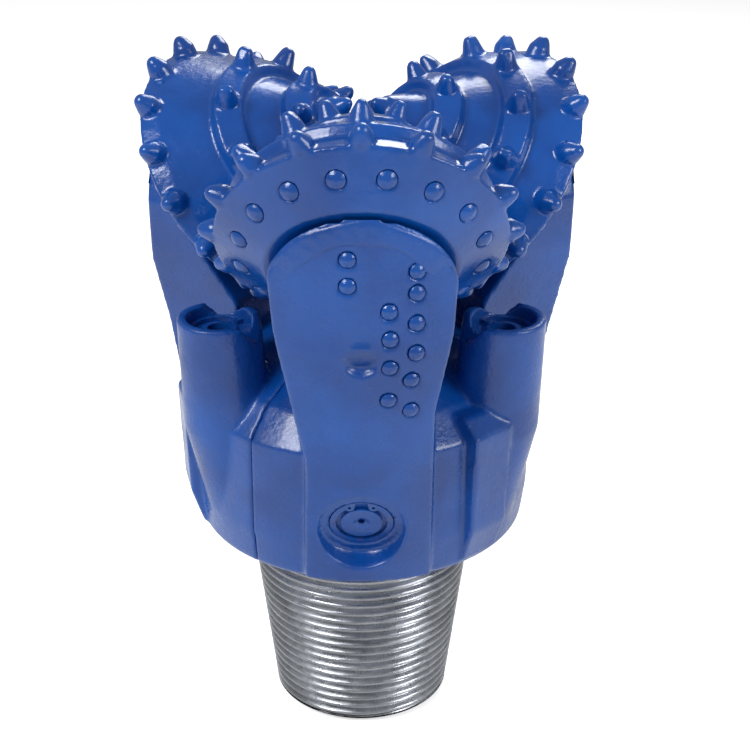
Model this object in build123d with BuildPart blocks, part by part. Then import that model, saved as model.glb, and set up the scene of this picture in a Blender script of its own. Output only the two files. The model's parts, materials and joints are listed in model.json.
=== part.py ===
"""Sealed journal-bearing tricone rock bit with pressed-in carbide inserts.

Frame: origin at the centre of the pin's end face, +Z along the bit axis towards the
cones. Leg 1 stands at -Y, and the others follow at 120 degrees about Z. Millimetres.
"""

from build123d import *
from math import acos, asin, atan2, cos, degrees, radians, sin, sqrt
import os

# ---- driving dimensions -------------------------------------------------------------
legs = 3
gauge_radius = 107.95          # 8 1/2 inch hole

# rotary shouldered pin, 4 1/2 REG: 1 in 4 taper on diameter
pin_length = 107.95
pin_base_radius = 58.74
pin_taper = 1 / 8              # on radius
pin_relief = 12.7              # plain length under the shoulder
pin_relief_radius = 57.2
pin_nose_chamfer = 3.0
water_bore_radius = 28.6
water_bore_top = 118.0
plenum_radius = 43.0
plenum_top = 142.0

# welded body
shoulder_radius = 82.7
shoulder_bevel = 2.4
body_radius = 85.0
body_waist_z = 190.0
crown_z = 213.0                # top of the web between the legs
seam_azimuth = 82.0            # weld seam on the nozzle side of each leg

# journal: the three axes meet on the bit axis and are square to each other
journal_angle = 35.264         # above the plane of the hole bottom
journal_centre_z = 325.0
journal_radius = 25.5
journal_face = 101.0           # machined face of the leg, along the journal axis
race_at = 59.0
ball_radius = 6.3
ball_circle_radius = 24.5
ball_count = 18
race_clearance = 0.25
neck_radius = 22.6
pilot_radius = 14.5
pilot_shoulder = 50.0
pilot_end = 37.5

# leg
leg_half_width = 41.0
leg_waist_half_width = 28.5
tail_radius = 48.5
leg_outer_radius = 106.0
leg_edge_fillet = 5.0

# nozzle port
nozzle_azimuth = 60.0
nozzle_at = (78.0, 228.0)      # distance from the bit axis, height of the port mouth
port_radius = 15.2
port_depth = 38.0
boss_sections = [(63.0, 112.0, 19.0), (75.0, 172.0, 21.0), (nozzle_at[0], nozzle_at[1], 20.0)]
passage_radius = 11.0

# grease reservoir
reservoir_tilt = 22.0          # the cap faces outwards and this much downwards
reservoir_at = (84.0, 141.0)   # distance from the bit axis and height of the cap's centre
pocket_radius = 20.5
reservoir_radius = 15.0
reservoir_depth = 34.0

# cone shell, in distance along (s) and below (d) the plane between two cones
land_drop = 4.0
groove_drop = 9.5
land_half = 6.1
groove_wall = 2.0
nose_at = 13.5
nose_radius = 6.0
gauge_edge = (83.0, 66.4)      # along the journal axis, radius
heel_end = (99.3, 43.4)
back_face = 99.3
bushing_outer_radius = 29.5
seal_gland_radius = 32.0
seal_gland = (89.5, 95.5)

crown_height = 9.5
insert_radius = 5.6
socket_depth = 8.0


# ---- frames -------------------------------------------------------------------------
def leg_turn(leg):
    """Rotation about the bit axis that carries leg 1 to this leg."""
    return Location((0, 0, 0), (0, 0, 360 / legs * (leg - 1)))


def journal_frame(leg):
    """z runs out and down along the journal from the meeting point, y points up."""
    down = radians(journal_angle)
    base = Plane(
        origin=(0, 0, journal_centre_z),
        x_dir=(1, 0, 0),
        z_dir=(0, -cos(down), -sin(down)),
    )
    return leg_turn(leg) * base.location


def reservoir_frame(leg):
    """z runs into the leg from the centre of the reservoir cap's outer face."""
    rise = radians(reservoir_tilt)
    distance, height = reservoir_at
    base = Plane(
        origin=(0, -distance, height), x_dir=(1, 0, 0), z_dir=(0, cos(rise), sin(rise))
    )
    return leg_turn(leg) * base.location


def nozzle_frame(leg):
    """z runs out of the port, and the origin is at the centre of its mouth."""
    distance, height = nozzle_at
    return (
        leg_turn(leg)
        * Location((0, 0, 0), (0, 0, nozzle_azimuth))
        * Location((0, -distance, height))
    )


def shell_point(s, d):
    """(radius, distance along the journal) of a point on the cone's shell."""
    return ((s - d) / sqrt(2), (s + d) / sqrt(2))


def turned(frame, outline):
    """Revolves a closed outline of (radius, distance) points about a frame's z."""
    with BuildPart() as piece:
        with BuildSketch(Plane.XZ):
            with BuildLine():
                Polyline(*outline, close=True)
            make_face()
        revolve(axis=Axis.Z)
    return piece.part.moved(frame)


def torus(frame, ring_radius, section_radius, height):
    """Ring of round section about a frame's z."""
    with BuildPart() as piece:
        with BuildSketch(Plane.XZ):
            with Locations((ring_radius, height)):
                Circle(section_radius)
        revolve(axis=Axis.Z)
    return piece.part.moved(frame)


# ---- inserts ------------------------------------------------------------------------
def chisel_insert(radius, height, depth):
    """Carbide insert with a wedge crown: its crest lies along x."""
    crest_half = 1.5
    with BuildPart() as insert:
        with BuildSketch(Plane.XZ):
            with BuildLine():
                Polyline(
                    (0, -depth), (radius, -depth), (radius, 1.0),
                    (radius * 0.62, height - 1.2), (radius * 0.42, height), (0, height),
                    close=True,
                )
            make_face()
        revolve(axis=Axis.Z)
        with BuildSketch(Plane.YZ) as flat:
            with BuildLine():
                Polyline(
                    (crest_half, height + 1), (crest_half, height), (radius + 1, 1.0),
                    (radius + 1, height + 1), close=True,
                )
            make_face()
            mirror(about=Plane.YZ)
        extrude(amount=radius + 1, both=True, mode=Mode.SUBTRACT)
    return insert.part


def domed_insert(radius, height, depth):
    """Carbide insert with a rounded crown."""
    dome = (radius**2 + height**2) / (2 * height)
    with BuildPart() as insert:
        with BuildSketch(Plane.XZ):
            with BuildLine():
                Polyline((0, height), (0, -depth), (radius, -depth), (radius, 0))
                RadiusArc((radius, 0), (0, height), -dome)
            make_face()
        revolve(axis=Axis.Z)
    return insert.part


def conical_insert(radius, height, depth):
    """Carbide insert with a blunt cone crown."""
    tip = radius * 0.42
    with BuildPart() as insert:
        with BuildSketch(Plane.XZ):
            with BuildLine():
                Polyline(
                    (0, -depth), (radius, -depth), (radius, 1.2), (tip + 0.9, height - 1.8),
                    (tip, height - 0.7), (tip - 0.9, height - 0.2), (tip / 3, height),
                    (0, height), close=True,
                )
            make_face()
        revolve(axis=Axis.Z)
    return insert.part


def row_places(frame, at, lean, count, phase=0.0):
    """Seats round a cone at (radius, distance), leaning towards the nose."""
    radius, along = at
    return [
        frame
        * Location((0, 0, 0), (0, 0, phase + 360 / count * i))
        * Location((radius, 0, along), (0, 90 + lean, 0))
        for i in range(count)
    ]


def place_copies(shape, places):
    """Separate copies of one insert, each moved to its seat."""
    return Compound([shape.moved(place) for place in places])


# rows of each cone: s along the cone, count, turn of the row
cone_rows = {
    1: {"middle": (84.5, 12, 0.0), "inner": (52.0, 7, 12.0)},
    2: {"middle": (74.0, 11, 8.0), "inner": (41.0, 6, 0.0)},
    3: {"middle": (63.5, 9, 4.0), "inner": (30.0, 5, 20.0)},
}
gauge_count = 16
gauge_seat = (65.6, 78.2)
gauge_lean = 6.0
heel_count = 16
heel_seat = ((gauge_edge[1] + heel_end[1]) / 2, (gauge_edge[0] + heel_end[0]) / 2)
heel_lean = journal_angle - 90
heel_button_radius = 4.2
heel_button_height = 1.7
heel_button_depth = 6.5


def race_curve(groove_radius, bore_radius):
    """Points round the ball race in the cone's bore, from the mouth inwards."""
    steps = 20
    half = acos((bore_radius - ball_circle_radius) / groove_radius)
    angles = [half - 2 * half * i / steps for i in range(steps + 1)]
    return [
        (ball_circle_radius + groove_radius * cos(a), race_at + groove_radius * sin(a))
        for a in angles
    ]


def cone_outline(leg):
    """Closed (radius, distance) outline of a cone: nose, lands, grooves, heel, bore."""
    outline = [(0, nose_at), (nose_radius, nose_at)]
    rows = sorted(s for s, _, _ in cone_rows[leg].values())
    for s in rows:
        outline += [
            shell_point(s - land_half - groove_wall, groove_drop),
            shell_point(s - land_half, land_drop),
            shell_point(s + land_half, land_drop),
            shell_point(s + land_half + groove_wall, groove_drop),
        ]
    outline = [p for i, p in enumerate(outline) if i < 2 or p[1] > nose_at + 1.5]
    outline += [
        shell_point(97.0, groove_drop),
        (gauge_edge[1] - 1.2, gauge_edge[0] - 2.0),
        (gauge_edge[1], gauge_edge[0]),
        (heel_end[1], heel_end[0]),
    ]
    race_half = ball_radius + race_clearance
    outline += [
        (bushing_outer_radius, back_face),
        (bushing_outer_radius, race_at + race_half + 0.8),
        (neck_radius + 0.6, race_at + race_half + 0.8),
        *race_curve(race_half, neck_radius + 0.6),
        (neck_radius + 0.6, pilot_shoulder - 2.4),
        (pilot_radius + 0.3, pilot_shoulder - 2.4),
        (pilot_radius + 0.3, pilot_end - 1.0),
        (0, pilot_end - 1.0),
    ]
    return outline


def build_cone(leg):
    """Cone shell with its sockets, and each row of inserts, as a dict of parts."""
    frame = journal_frame(leg)
    middle_s, middle_count, middle_turn = cone_rows[leg]["middle"]
    inner_s, inner_count, inner_turn = cone_rows[leg]["inner"]
    rows = {
        "middle_inserts": (
            chisel_insert(insert_radius, crown_height, socket_depth),
            row_places(frame, shell_point(middle_s, land_drop), 45, middle_count, middle_turn),
        ),
        "inner_inserts": (
            conical_insert(insert_radius - 0.6, crown_height - 1.0, socket_depth - 2.5),
            row_places(frame, shell_point(inner_s, land_drop), 45, inner_count, inner_turn),
        ),
        "gauge_inserts": (
            conical_insert(insert_radius, crown_height - 1.8, socket_depth),
            row_places(frame, gauge_seat, gauge_lean, gauge_count),
        ),
        "heel_buttons": (
            domed_insert(heel_button_radius, heel_button_height, heel_button_depth),
            row_places(frame, heel_seat, heel_lean, heel_count, 180 / heel_count),
        ),
        "nose_insert": (
            conical_insert(insert_radius - 1.0, crown_height - 3.0, socket_depth - 2.0),
            [frame * Location((0, 0, nose_at), (180, 0, 0))],
        ),
    }
    sockets = {
        "middle_inserts": (insert_radius, socket_depth),
        "inner_inserts": (insert_radius - 0.6, socket_depth - 2.5),
        "gauge_inserts": (insert_radius, socket_depth),
        "heel_buttons": (heel_button_radius, heel_button_depth),
        "nose_insert": (insert_radius - 1.0, socket_depth - 2.0),
    }
    with BuildPart() as cone:
        add(turned(frame, cone_outline(leg)))
        gland_low, gland_high = seal_gland
        add(
            turned(
                frame,
                [(bushing_outer_radius - 1, gland_low), (seal_gland_radius, gland_low),
                 (seal_gland_radius, gland_high), (bushing_outer_radius - 1, gland_high)],
            ),
            mode=Mode.SUBTRACT,
        )
        for name, (radius, depth) in sockets.items():
            with Locations(*rows[name][1]):
                Cylinder(radius, 2 * depth, mode=Mode.SUBTRACT)
    parts = {f"cone_{leg}": cone.part}
    copies = {name: place_copies(shape, places) for name, (shape, places) in rows.items()}
    nose = copies.pop("nose_insert")
    copies["inner_inserts"] = Compound([*copies["inner_inserts"].solids(), *nose.solids()])
    for name, shape in copies.items():
        parts[f"cone_{leg}_{name}"] = shape
    return parts



# ---- leg ----------------------------------------------------------------------------
# distance of the leg's outer face from the bit axis, at these heights
arm_profile = [(85.5, 112.0), (93.0, 165.0), (106.0, 236.0), (106.0, 305.0)]
# the outline of the leg from the front, up each side
arm_left = [(-27.0, 110.0), (-26.0, 178.0), (-39.0, 246.0), (-leg_half_width, 270.0)]
arm_right = [(42.0, 268.0), (40.5, 244.0), (33.0, 203.0), (33.0, 110.0)]
arm_top = 300.0
arm_inner = 50.0

cone_clearance = 78.0

lug_azimuth = 43.0
lug_width = 24.0
lug_top = 188.0
lug_radius = 92.0

plug_radius = 6.4
plug_outer = (-13.0, 137.0)    # across and along the journal's axis
plug_inner = (-18.0, 59.0)
plug_end = 66.8
dimple_radius = 8.5
dimple_depth = 2.0

button_radius = 3.5
button_height = 1.5
button_depth = 5.0
button_places = [
    (-6, 281), (-6, 269), (24, 275), (24, 265), (24, 251), (12, 257),
    (12.5, 244), (12.5, 230), (24, 237), (22, 223), (12, 213), (22, 207),
]


def arm_radius(z):
    """Distance of the leg's outer face from the bit axis at a height."""
    for (low, z0), (high, z1) in zip(arm_profile, arm_profile[1:]):
        if z <= z1:
            return low + (high - low) * (z - z0) / (z1 - z0)
    return arm_profile[-1][0]


def rod(frame, radius, start, end):
    """Cylinder between two points given as (across, along) the journal's axis."""
    a = (frame * Location((0, start[0], start[1]))).position
    b = (frame * Location((0, end[0], end[1]))).position
    with BuildPart() as bar:
        with BuildSketch(Plane(origin=a, z_dir=b - a)):
            Circle(radius)
        extrude(amount=(b - a).length)
    return bar.part


def build_arm():
    """The leg's outer shape from the front, bounded by its turned outer face."""
    with BuildPart() as arm:
        with BuildSketch(Plane.XZ):
            with BuildLine():
                left = Polyline(*arm_left)
                right = Polyline(*arm_right)
                ThreePointArc(left @ 1, (0.5, arm_top), right @ 0)
                Line(right @ 1, left @ 0)
            make_face()
        extrude(amount=130)
        with BuildSketch(Plane.XZ):
            with BuildLine():
                Polyline(
                    (0, 100), (arm_profile[0][0], 100), *arm_profile, (0, 305), close=True
                )
            make_face()
        revolve(axis=Axis.Z, mode=Mode.INTERSECT)
        with Locations((0, 0, 205)):
            Box(140, 2 * arm_inner, 220, mode=Mode.SUBTRACT)
    return arm.part


def build_sector():
    """One third of the forged and turned body, from seam to seam."""
    profile = [
        (0, pin_length), (shoulder_radius - shoulder_bevel, pin_length),
        (shoulder_radius, pin_length + shoulder_bevel), (body_radius, 128.0),
        (body_radius, body_waist_z - 14), (body_radius - 12, body_waist_z),
        (30, crown_z), (0, crown_z),
    ]
    with BuildPart() as sector:
        with BuildSketch(Plane.XZ.rotated((0, 0, seam_azimuth - 90 - 120))):
            with BuildLine():
                Polyline(*profile, close=True)
            make_face()
        revolve(axis=Axis.Z, revolution_arc=120)
    return sector.part


def build_lug():
    """Upright lug between the arm and the nozzle boss."""
    with BuildPart() as lug:
        with BuildSketch(Plane.YZ):
            with BuildLine():
                Polyline(
                    (-50, 112), (-84, 112), (-lug_radius + 2, 130), (-lug_radius, lug_top - 8),
                    (-lug_radius + 9, lug_top), (-50, lug_top), close=True,
                )
            make_face()
        extrude(amount=lug_width / 2, both=True)
    return lug.part.moved(Location((0, 0, 0), (0, 0, lug_azimuth)))


def button_seats():
    """Seats of the hard buttons in the face of leg 1, z outwards."""
    seats = []
    for x, z in button_places:
        radius = arm_radius(z)
        y = -sqrt(radius**2 - x**2)
        slope = degrees(atan2(arm_radius(z + 1) - arm_radius(z - 1), 2))
        seats.append(
            Location((x, y, z))
            * Location((0, 0, 0), (0, 0, degrees(asin(x / radius))))
            * Location((0, 0, 0), (90 + slope, 0, 0))
        )
    return seats


def build_leg():
    """Leg 1: arm, nozzle boss, lug, journal, and all its bores."""
    journal = journal_frame(1)
    nozzle = nozzle_frame(1)
    reservoir = reservoir_frame(1)
    distance, height = nozzle_at
    with BuildPart() as leg:
        add(build_sector())
        add(build_arm())
        # nozzle boss, from the body up to the port
        around = Location((0, 0, 0), (0, 0, nozzle_azimuth))
        for lower, upper in zip(boss_sections, boss_sections[1:]):
            for out, z, radius in (lower, upper):
                with BuildSketch(around * Location((0, -out, z))):
                    Circle(radius)
            loft()
        add(build_lug())
        # room for the three cones
        for n in (1, 2, 3):
            add(
                turned(
                    journal_frame(n),
                    [(0, -40), (cone_clearance, -40), (cone_clearance, journal_face),
                     (0, journal_face)],
                ),
                mode=Mode.SUBTRACT,
            )
        # journal, ball race and pilot pin
        race_half = ball_radius + race_clearance
        add(
            turned(
                journal,
                [(0, journal_face + 6), (journal_radius + 3, journal_face + 6),
                 (journal_radius + 3, journal_face + 0.01), (journal_radius, journal_face - 1.6),
                 (journal_radius, race_at + race_half + 1.4),
                 (neck_radius, race_at + race_half + 1.4), (neck_radius, pilot_shoulder),
                 (pilot_radius, pilot_shoulder), (pilot_radius, pilot_end + 1),
                 (pilot_radius - 1, pilot_end), (0, pilot_end)],
            )
        )
        add(torus(journal, ball_circle_radius, race_half, race_at), mode=Mode.SUBTRACT)
        # ball hole and its recess in the leg's face
        add(rod(journal, plug_radius, plug_outer, plug_inner), mode=Mode.SUBTRACT)
        add(
            rod(journal, dimple_radius, (plug_outer[0] + 1, plug_outer[1] + 14), plug_outer),
            mode=Mode.SUBTRACT,
        )
        # water: bore, plenum, the passage to the nozzle and the nozzle's port
        with Locations((0, 0, pin_length)):
            Cylinder(
                water_bore_radius, 30, mode=Mode.SUBTRACT,
                align=(Align.CENTER, Align.CENTER, Align.MIN),
            )
        add(
            turned(
                Location(),
                [(0, water_bore_top), (water_bore_radius, water_bore_top),
                 (plenum_radius, water_bore_top + 12), (plenum_radius, plenum_top - 8),
                 (plenum_radius - 12, plenum_top), (0, plenum_top)],
            ),
            mode=Mode.SUBTRACT,
        )
        with Locations(nozzle):
            Cylinder(
                port_radius, 2 * port_depth, mode=Mode.SUBTRACT,
            )
        with Locations(nozzle * Location((0, 0, -port_depth))):
            Cylinder(
                passage_radius, 22, mode=Mode.SUBTRACT,
                align=(Align.CENTER, Align.CENTER, Align.MAX),
            )
        foot = (around * Location((0, -30, 128))).position
        head = (around * Location((0, -distance, height - port_depth - 14))).position
        with BuildSketch(Plane(origin=foot, z_dir=head - foot)):
            Circle(passage_radius)
        extrude(amount=(head - foot).length, mode=Mode.SUBTRACT)
        with Locations(Location(head)):
            Sphere(passage_radius, mode=Mode.SUBTRACT)
        # grease reservoir: pocket, bore, and the passage up to the journal
        with Locations(reservoir * Location((0, 0, -30))):
            Cylinder(
                pocket_radius, 30, mode=Mode.SUBTRACT,
                align=(Align.CENTER, Align.CENTER, Align.MIN),
            )
        with Locations(reservoir):
            Cylinder(
                reservoir_radius, reservoir_depth, mode=Mode.SUBTRACT,
                align=(Align.CENTER, Align.CENTER, Align.MIN),
            )
        start = (reservoir * Location((0, 8, reservoir_depth - 1))).position
        end = (journal * Location((0, -15, 92.0))).position
        with BuildSketch(Plane(origin=start, z_dir=end - start)):
            Circle(2.0)
        extrude(amount=(end - start).length, mode=Mode.SUBTRACT)
        with Locations(*button_seats()):
            Cylinder(button_radius, 2 * button_depth, mode=Mode.SUBTRACT)
    return leg.part


# ---- fittings of one leg ------------------------------------------------------------
def build_fittings():
    """The loose pieces of leg 1, as a dict of parts."""
    journal = journal_frame(1)
    nozzle = nozzle_frame(1)
    reservoir = reservoir_frame(1)
    parts = {}
    parts["journal_bushing"] = turned(
        journal,
        [(journal_radius + 0.1, 67.5), (bushing_outer_radius, 67.5),
         (bushing_outer_radius, 88.5), (journal_radius + 0.1, 88.5)],
    )
    parts["thrust_washer"] = turned(
        journal,
        [(pilot_radius + 0.4, 47.6), (neck_radius + 0.2, 47.6), (neck_radius + 0.2, 49.8),
         (pilot_radius + 0.4, 49.8)],
    )
    parts["seal_ring"] = torus(journal, 28.75, 2.95, 92.5)
    with BuildPart() as ball:
        Sphere(ball_radius)
    seats = [
        journal
        * Location((0, 0, 0), (0, 0, 360 / ball_count * i))
        * Location((ball_circle_radius, 0, race_at))
        for i in range(ball_count)
    ]
    parts["retention_balls"] = place_copies(ball.part, seats)
    along = (plug_end - plug_inner[1]) / (plug_outer[1] - plug_inner[1])
    plug_foot = (plug_inner[0] + (plug_outer[0] - plug_inner[0]) * along, plug_end)
    parts["ball_plug"] = rod(journal, plug_radius - 0.05, plug_outer, plug_foot)
    parts["reservoir_cup"] = turned(
        reservoir,
        [(0, 30), (reservoir_radius - 2.5, 30), (reservoir_radius - 0.1, 27),
         (reservoir_radius - 0.1, 8.6), (reservoir_radius - 1.3, 8.6),
         (reservoir_radius - 1.3, 26.4), (reservoir_radius - 3.0, 28.6), (0, 28.6)],
    )
    parts["reservoir_diaphragm"] = turned(
        reservoir,
        [(0, 19), (7, 19), (10.5, 9.8), (10.5, 8.5), (reservoir_radius - 0.1, 8.5),
         (reservoir_radius - 0.1, 6.2), (8.6, 6.2), (5.6, 17.2), (0, 17.2)],
    )
    parts["reservoir_cap"] = turned(
        reservoir,
        [(1.6, 6.1), (1.6, 1.6), (4.0, 0.4), (9.7, 0.4), (9.7, 2.3),
         (reservoir_radius - 0.1, 2.3), (reservoir_radius - 0.1, 6.1)],
    )
    with BuildPart() as clip:
        with BuildSketch(reservoir * Location((0, 0, 0.6))):
            Circle(reservoir_radius - 0.05)
            Circle(reservoir_radius - 2.8, mode=Mode.SUBTRACT)
            with Locations((0, -reservoir_radius)):
                Rectangle(6, 10, mode=Mode.SUBTRACT)
            for side in (-1, 1):
                with Locations((side * 5.6, -reservoir_radius + 4.0)):
                    Circle(2.3)
                    Circle(0.8, mode=Mode.SUBTRACT)
        extrude(amount=1.6)
    parts["reservoir_snap_ring"] = clip.part
    parts["nozzle"] = turned(
        nozzle,
        [(5.6, -6.0), (8.2, -6.0), (10.2, -8.0), (port_radius - 0.1, -8.0),
         (port_radius - 0.1, -17.5), (12.4, -17.5), (12.4, -23.5), (port_radius - 0.1, -23.5),
         (port_radius - 0.1, -port_depth + 0.1), (passage_radius, -port_depth + 0.1),
         (passage_radius - 0.4, -30.0), (8.0, -16.0), (5.6, -9.0)],
    )
    parts["nozzle_o_ring"] = torus(nozzle, 13.8, 1.35, -20.5)
    with BuildPart() as clip:
        with BuildSketch(nozzle * Location((0, 0, -7.9))):
            Circle(port_radius - 0.05)
            Circle(12.8, mode=Mode.SUBTRACT)
            with Locations((0, port_radius)):
                Rectangle(7, 8, mode=Mode.SUBTRACT)
            for side in (-1, 1):
                with Locations((side * 5.2, 11.7)):
                    Circle(1.9)
                    Circle(0.7, mode=Mode.SUBTRACT)
        extrude(amount=2.0)
    parts["nozzle_retaining_ring"] = clip.part
    parts["leg_buttons"] = place_copies(
        domed_insert(button_radius, button_height, button_depth), button_seats()
    )
    return parts


def build_pin():
    """Tapered threaded connection, bored for water, up to the shoulder."""
    nose = pin_base_radius - pin_length * pin_taper
    relief_z = pin_length - pin_relief
    outline = [
        (water_bore_radius, 0),
        (nose - 3.0, 0), (nose + 0.3, pin_nose_chamfer),
        (nose + relief_z * pin_taper, relief_z), (pin_relief_radius, relief_z + 1.0),
        (pin_relief_radius, pin_length), (water_bore_radius, pin_length),
    ]
    return turned(Location(), outline)


def save(name, shape):
    """Writes one named piece to its own file."""
    shape.label = name
    export_step(shape, f"parts/{name}.step")
    print(name, len(shape.solids()), round(shape.volume / 1000, 1), "cm3")


os.makedirs("parts", exist_ok=True)
save("pin_connection", build_pin())
leg_1 = build_leg()
fittings = build_fittings()
for n in range(1, legs + 1):
    save(f"leg_{n}", leg_1.moved(leg_turn(n)))
    for name, shape in fittings.items():
        save(f"{name}_{n}", shape.moved(leg_turn(n)))
    for name, shape in build_cone(n).items():
        save(name, shape)
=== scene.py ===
from math import cos, pi, sin, sqrt

import bpy
from mathutils import Matrix, Vector
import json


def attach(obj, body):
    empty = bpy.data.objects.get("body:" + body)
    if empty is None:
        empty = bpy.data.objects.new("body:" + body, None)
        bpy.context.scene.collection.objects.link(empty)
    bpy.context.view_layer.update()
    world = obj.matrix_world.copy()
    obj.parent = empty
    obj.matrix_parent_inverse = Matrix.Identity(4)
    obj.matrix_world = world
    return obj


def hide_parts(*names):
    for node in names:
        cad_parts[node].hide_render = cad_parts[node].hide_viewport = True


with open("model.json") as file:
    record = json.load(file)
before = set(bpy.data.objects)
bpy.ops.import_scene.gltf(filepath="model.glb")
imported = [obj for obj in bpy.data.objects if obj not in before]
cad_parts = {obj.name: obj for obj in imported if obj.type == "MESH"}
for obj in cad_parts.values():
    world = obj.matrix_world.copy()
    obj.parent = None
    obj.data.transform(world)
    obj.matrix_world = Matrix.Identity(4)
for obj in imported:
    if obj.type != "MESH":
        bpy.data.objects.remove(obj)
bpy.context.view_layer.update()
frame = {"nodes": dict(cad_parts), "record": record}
mm = 0.001
legCount = 3


# ---- meshes ---------------------------------------------------------------------
def addMesh(name, vertices, faces, smooth=True):
    mesh = bpy.data.meshes.new(name)
    mesh.from_pydata([tuple(v) for v in vertices], [], faces)
    mesh.validate()
    mesh.polygons.foreach_set("use_smooth", [smooth] * len(mesh.polygons))
    shape = bpy.data.objects.new(name, mesh)
    bpy.context.scene.collection.objects.link(shape)
    return shape


def applyModifiers(shape):
    graph = bpy.context.evaluated_depsgraph_get()
    mesh = bpy.data.meshes.new_from_object(shape.evaluated_get(graph))
    shape.modifiers.clear()
    shape.data = mesh
    shape.data.polygons.foreach_set("use_smooth", [True] * len(mesh.polygons))


def joinedCopy(name, nodes):
    vertices, faces = [], []
    for node in nodes:
        source = frame["nodes"][node]
        start = len(vertices)
        vertices += [source.matrix_world @ v.co for v in source.data.vertices]
        faces += [[start + i for i in p.vertices] for p in source.data.polygons]
    return addMesh(name, vertices, faces)


def softened(shape, voxel, rounds, strength=0.5):
    remesh = shape.modifiers.new("Blend", "REMESH")
    remesh.mode = "VOXEL"
    remesh.voxel_size = voxel
    remesh.adaptivity = 0
    smooth = shape.modifiers.new("Smooth", "SMOOTH")
    smooth.iterations = rounds
    smooth.factor = strength
    applyModifiers(shape)
    return shape


def lathe(profile, steps):
    vertices, faces = [], []
    for radius, z in profile:
        for j in range(steps):
            angle = 2 * pi * j / steps
            vertices.append((radius * cos(angle), radius * sin(angle), z))
    for i in range(len(profile) - 1):
        for j in range(steps):
            k = (j + 1) % steps
            faces.append((i * steps + j, i * steps + k, (i + 1) * steps + k, (i + 1) * steps + j))
    return vertices, faces


# ---- materials ------------------------------------------------------------------
def newMaterial(name):
    material = bpy.data.materials.new(name)
    material.use_nodes = True
    tree = material.node_tree
    return material, tree, tree.nodes["Principled BSDF"]


def noise(tree, scale, detail=4.0, roughness=0.5):
    place = tree.nodes.new("ShaderNodeTexCoord")
    texture = tree.nodes.new("ShaderNodeTexNoise")
    texture.inputs["Scale"].default_value = scale
    texture.inputs["Detail"].default_value = detail
    texture.inputs["Roughness"].default_value = roughness
    tree.links.new(place.outputs["Object"], texture.inputs["Vector"])
    return texture.outputs["Fac"]


def ramp(tree, source, low, high, start, end):
    node = tree.nodes.new("ShaderNodeMapRange")
    node.inputs["From Min"].default_value = start
    node.inputs["From Max"].default_value = end
    node.inputs["To Min"].default_value = low
    node.inputs["To Max"].default_value = high
    tree.links.new(source, node.inputs["Value"])
    return node.outputs["Result"]


def blend(tree, factor, first, second):
    node = tree.nodes.new("ShaderNodeMix")
    node.data_type = "RGBA"
    tree.links.new(factor, node.inputs["Factor"])
    for socket, colour in ((node.inputs["A"], first), (node.inputs["B"], second)):
        if isinstance(colour, tuple):
            socket.default_value = (*colour, 1)
        else:
            tree.links.new(colour, socket)
    return node.outputs["Result"]


def product(tree, first, second):
    node = tree.nodes.new("ShaderNodeMath")
    node.operation = "MULTIPLY"
    for socket, value in zip(node.inputs, (first, second)):
        if isinstance(value, float):
            socket.default_value = value
        else:
            tree.links.new(value, socket)
    return node.outputs[0]


def bump(tree, shader, *layers):
    normal = None
    for height, distance, strength in layers:
        node = tree.nodes.new("ShaderNodeBump")
        node.inputs["Distance"].default_value = distance
        node.inputs["Strength"].default_value = strength
        tree.links.new(height, node.inputs["Height"])
        if normal is not None:
            tree.links.new(normal, node.inputs["Normal"])
        normal = node.outputs["Normal"]
    tree.links.new(normal, shader.inputs["Normal"])


paint = {
    "colour": (0.003, 0.085, 0.40),
    "deepColour": (0.002, 0.050, 0.26),
    "roughness": 0.16,
    "worn": (0.10, 0.085, 0.08),
    "wornAmount": 0.35,
}


def blueEnamel(name, roughness, grain):
    material, tree, shader = newMaterial(name)
    broad = ramp(tree, noise(tree, 22.0, 5.0), 0, 1, 0.35, 0.65)
    colour = blend(tree, broad, paint["deepColour"], paint["colour"])
    edge = tree.nodes.new("ShaderNodeNewGeometry").outputs["Pointiness"]
    spots = ramp(tree, noise(tree, 160.0, 6.0, 0.7), 0, 1, 0.52, 0.62)
    ridge = ramp(tree, edge, 0, 1, 0.53, 0.60)
    wear = product(tree, product(tree, spots, ridge), paint["wornAmount"])
    tree.links.new(blend(tree, wear, colour, paint["worn"]), shader.inputs["Base Color"])
    rough = ramp(tree, noise(tree, 60.0, 3.0), roughness * 0.6, roughness * 1.7, 0.3, 0.7)
    tree.links.new(rough, shader.inputs["Roughness"])
    shader.inputs["Coat Weight"].default_value = 0.3
    shader.inputs["Coat Roughness"].default_value = 0.06
    bump(
        tree, shader,
        (noise(tree, 130.0, 2.0), 0.9 * mm, 0.35),
        (noise(tree, grain, 5.0, 0.65), 0.35 * mm, 0.6),
    )
    return material


def metal(name, colour, roughness, rings=0.0):
    material, tree, shader = newMaterial(name)
    mottle = ramp(tree, noise(tree, 45.0, 6.0), 0, 1, 0.35, 0.7)
    dark = tuple(c * 0.62 for c in colour)
    tree.links.new(blend(tree, mottle, dark, colour), shader.inputs["Base Color"])
    shader.inputs["Metallic"].default_value = 1.0
    rough = ramp(tree, noise(tree, 200.0, 4.0), roughness * 0.8, roughness * 1.4, 0.3, 0.7)
    tree.links.new(rough, shader.inputs["Roughness"])
    layers = [(noise(tree, 700.0, 3.0), 0.08 * mm, 0.5)]
    if rings:
        place = tree.nodes.new("ShaderNodeTexCoord")
        wave = tree.nodes.new("ShaderNodeTexWave")
        wave.bands_direction = "Z"
        wave.inputs["Scale"].default_value = rings
        wave.inputs["Distortion"].default_value = 0.4
        tree.links.new(place.outputs["Object"], wave.inputs["Vector"])
        layers.append((wave.outputs["Fac"], 0.04 * mm, 0.5))
    bump(tree, shader, *layers)
    return material


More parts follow.
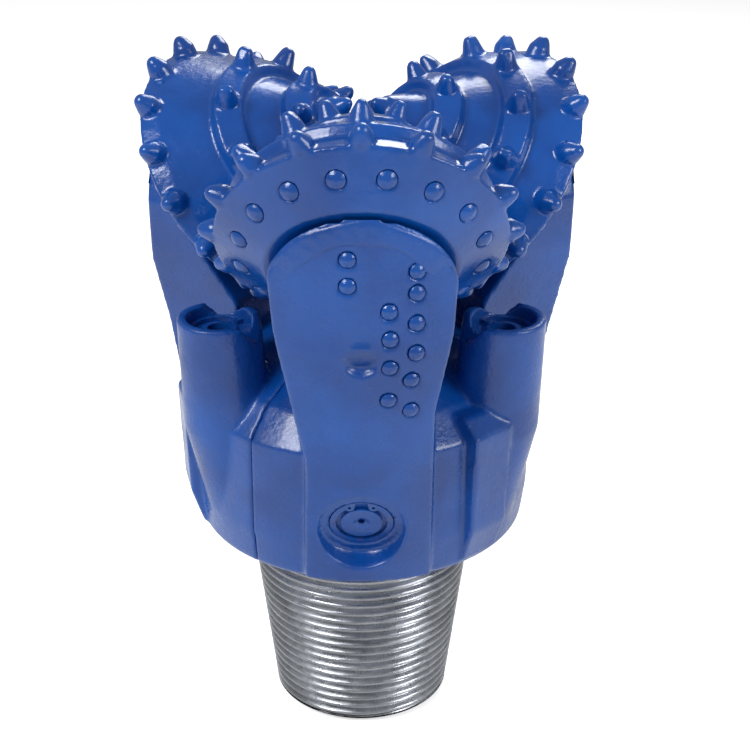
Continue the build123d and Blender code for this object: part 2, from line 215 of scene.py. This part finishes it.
def plain(name, colour, roughness):
    material, tree, shader = newMaterial(name)
    shade = ramp(tree, noise(tree, 90.0, 4.0), 0, 1, 0.3, 0.7)
    dark = tuple(c * 0.7 for c in colour)
    tree.links.new(blend(tree, shade, dark, colour), shader.inputs["Base Color"])
    shader.inputs["Roughness"].default_value = roughness
    return material


coneEnamel = blueEnamel("Cone enamel", paint["roughness"], 420.0)
legEnamel = blueEnamel("Leg enamel", paint["roughness"] * 1.6, 520.0)
turnedSteel = metal("Turned steel", (0.50, 0.52, 0.56), 0.26, rings=900.0)
bearingSteel = metal("Bearing steel", (0.62, 0.62, 0.63), 0.18)
carbide = metal("Nozzle carbide", (0.24, 0.24, 0.25), 0.35)
bronze = metal("Bronze", (0.62, 0.40, 0.17), 0.28)
rubber = plain("Nitrile rubber", (0.02, 0.02, 0.02), 0.6)
slotMaterials = {
    "blue_paint": legEnamel,
    "painted_carbide": coneEnamel,
    "pin_steel": turnedSteel,
    "bearing_steel": bearingSteel,
    "carbide": carbide,
    "bronze": bronze,
    "rubber": rubber,
}
for part in frame["record"]["subparts"]:
    node = frame["nodes"][part["node"]]
    node.data.materials.clear()
    node.data.materials.append(slotMaterials[part["material_slot"]])
for n in range(1, legCount + 1):
    for name in (f"nozzle_{n}", f"nozzle_retaining_ring_{n}"):
        frame["nodes"][name].data.materials[0] = legEnamel
print("materials done")


def finishPiece(shape, material, slot, body, *nodes):
    shape.data.materials.clear()
    shape.data.materials.append(material)
    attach(shape, body)
    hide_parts(*nodes)


# ---- cones with their inserts, under one coat of enamel -------------------------
coneShape = {"voxel": 0.85 * mm, "rounds": 4}
for n in range(1, legCount + 1):
    nodes = [f"cone_{n}"]
    nodes += [f"cone_{n}_{row}_inserts" for row in ("gauge", "middle", "inner")]
    cone = softened(joinedCopy(f"paintedCone{n}", nodes), coneShape["voxel"], coneShape["rounds"])
    finishPiece(cone, coneEnamel, "blue_paint", f"cone_{n}", *nodes)
print("cones done")


# ---- legs -----------------------------------------------------------------------
legShape = {"voxel": 1.1 * mm, "rounds": 9}
hardfacing = {
    "centre": 251.5,
    "radius": 41.5,
    "width": 11.0,
    "height": 1.0,
    "reach": 58,
    "face": 106.0,
    "gauge": 107.2,
    "sunk": 0.3,
}


def shirttailBand(n):
    along, across = 90, 14
    vertices, faces = [], []
    for i in range(along + 1):
        angle = (i / along * 2 - 1) * hardfacing["reach"] * pi / 180
        taper = min(1.0, 6 * (1 - abs(i / along * 2 - 1)))
        for j in range(across + 1):
            side = j / across * 2 - 1
            wobble = 0.5 * sin(angle * 9 + n) * side
            distance = hardfacing["radius"] + side * hardfacing["width"] / 2 + wobble
            x = distance * sin(angle)
            z = hardfacing["centre"] + distance * cos(angle)
            bead = 0.08 * sin(angle * 37 + 3 * side) * (1 - side * side)
            rise = (hardfacing["height"] + bead) * sqrt(max(0.0, 1 - side ** 4)) * taper
            radius = min(hardfacing["gauge"], hardfacing["face"] + rise - hardfacing["sunk"])
            vertices.append(Vector((x, -sqrt(radius * radius - x * x), z)) * mm)
    for i in range(along):
        for j in range(across):
            a = i * (across + 1) + j
            faces.append((a, a + across + 1, a + across + 2, a + 1))
    shape = addMesh(f"hardfacing{n}", vertices, faces)
    shape.data.transform(Matrix.Rotation((n - 1) * 2 * pi / legCount, 4, "Z"))
    return shape


for n in range(1, legCount + 1):
    nodes = [f"leg_{n}", f"ball_plug_{n}"]
    leg = softened(joinedCopy(f"forgedLeg{n}", nodes), legShape["voxel"], legShape["rounds"])
    finishPiece(leg, legEnamel, "blue_paint", "body", *nodes)
    band = shirttailBand(n)
    band.data.materials.append(legEnamel)
    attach(band, "body")
print("legs done")


# ---- threaded pin ---------------------------------------------------------------
thread = {
    "pitch": 5.08,
    "depth": 2.9,
    "taper": 1 / 8,
    "noseRadius": 45.25,
    "start": 2.6,
    "end": 97.5,
    "fade": 3.0,
    "columns": 180,
}
pinBore, pinTop, reliefRadius = 28.6, 107.95, 57.2


def threadRadius(phase, z):
    flank = abs(((phase % 1.0) * 2 - 1))
    groove = min(1.0, max(0.0, (flank - 0.14) / 0.74))
    low = min(1.0, max(0.0, (z - thread["start"] + 1) / thread["fade"]))
    high = min(1.0, max(0.0, (thread["end"] - z) / thread["fade"]))
    crest = thread["noseRadius"] + z * thread["taper"]
    return crest - thread["depth"] * groove * low * high


def threadedPin():
    pitch, columns = thread["pitch"], thread["columns"]
    phases = [0.0, 0.06, 0.12, 0.28, 0.43, 0.57, 0.72, 0.88, 0.94]
    turns = int((thread["end"] - thread["start"]) / pitch) + 3
    rows = [turn + phase for turn in range(turns) for phase in phases]
    vertices, faces = [], []
    for j in range(columns + 1):
        angle = pi / 2 + 2 * pi * j / columns
        for row in rows:
            z = thread["start"] + pitch * (row - 1.5 + j / columns)
            z = min(thread["end"], max(thread["start"], z))
            radius = threadRadius(row, z)
            vertices.append((radius * cos(angle), radius * sin(angle), z))
    count = len(rows)
    for j in range(columns):
        for i in range(count - 1):
            a = j * count + i
            faces.append((a, a + count, a + count + 1, a + 1))
    nose = thread["noseRadius"]
    ends = [
        [(threadRadius(0.5, thread["end"]), thread["end"]), (reliefRadius - 0.3, 98.6),
         (reliefRadius, 99.2), (reliefRadius, pinTop)],
        [(reliefRadius, pinTop), (pinBore, pinTop)],
        [(pinBore, pinTop), (pinBore, 2.0)],
        [(pinBore, 2.0), (pinBore + 2, 0)],
        [(pinBore + 2, 0), (nose - 3, 0)],
        [(nose - 3, 0), (threadRadius(0.5, thread["start"]) - 0.2, thread["start"])],
    ]
    for profile in ends:
        start = len(vertices)
        more, quads = lathe(profile, columns)
        vertices += more
        faces += [tuple(start + k for k in quad) for quad in quads]
    return addMesh("threadedPin", [Vector(v) * mm for v in vertices], faces)


pin = threadedPin()
finishPiece(pin, turnedSteel, "pin_steel", "body", "pin_connection")
print("pin done")


# ---- floor, light and camera ----------------------------------------------------
studio = {"floor": 0.9, "world": 0.34, "key": 16.0, "fill": 7.0, "back": 10.0, "glow": 0.55}


def areaLight(name, place, target, size, power):
    data = bpy.data.lights.new(name, "AREA")
    data.shape = "DISK"
    data.size = size
    data.energy = power
    lamp = bpy.data.objects.new(name, data)
    lamp.location = place
    lamp.rotation_euler = (Vector(target) - Vector(place)).to_track_quat("-Z", "Y").to_euler()
    bpy.context.scene.collection.objects.link(lamp)


def backdrop():
    world = bpy.data.worlds.new("Studio")
    world.use_nodes = True
    tree = world.node_tree
    background = tree.nodes["Background"]
    background.inputs["Color"].default_value = (1, 1, 1, 1)
    seen = tree.nodes.new("ShaderNodeLightPath").outputs["Is Camera Ray"]
    tree.links.new(ramp(tree, seen, studio["world"], 1.0, 0, 1), background.inputs["Strength"])
    bpy.context.scene.world = world
    corners = [(-6, -6, 0), (6, -6, 0), (6, 6, 0), (-6, 6, 0)]
    floor = addMesh("floor", corners, [(0, 1, 2, 3)], smooth=False)
    level = studio["floor"]
    material, tree, shader = newMaterial("Pale floor")
    shader.inputs["Base Color"].default_value = (level, level, level, 1)
    shader.inputs["Roughness"].default_value = 0.8
    shader.inputs["Emission Color"].default_value = (1, 1, 1, 1)
    seen = tree.nodes.new("ShaderNodeLightPath").outputs["Is Camera Ray"]
    tree.links.new(ramp(tree, seen, 0.0, studio["glow"], 0, 1), shader.inputs["Emission Strength"])
    floor.data.materials.append(material)
    floor.location.z = -0.0005


backdrop()
middle = (0, 0, 0.2)
areaLight("key", (-0.9, -0.8, 1.3), middle, 0.7, studio["key"])
areaLight("fill", (1.1, -0.7, 0.8), middle, 0.6, studio["fill"])
areaLight("back", (0.3, 1.0, 1.1), middle, 0.8, studio["back"])

view = {"distance": 0.755, "height": 0.525, "pitch": 23.6, "lens": 78.7, "shift": (0.018, -0.038)}
cameraData = bpy.data.cameras.new("Camera")
cameraData.lens = view["lens"]
cameraData.sensor_width = 36.0
cameraData.shift_x, cameraData.shift_y = view["shift"]
cameraData.clip_start = 0.01
camera = bpy.data.objects.new("Camera", cameraData)
camera.location = (0, -view["distance"], view["height"])
camera.rotation_euler = ((90 - view["pitch"]) * pi / 180, 0, 0)
bpy.context.scene.collection.objects.link(camera)
bpy.context.scene.camera = camera
bpy.context.scene.view_settings.view_transform = "Standard"
bpy.context.scene.view_settings.look = "None"

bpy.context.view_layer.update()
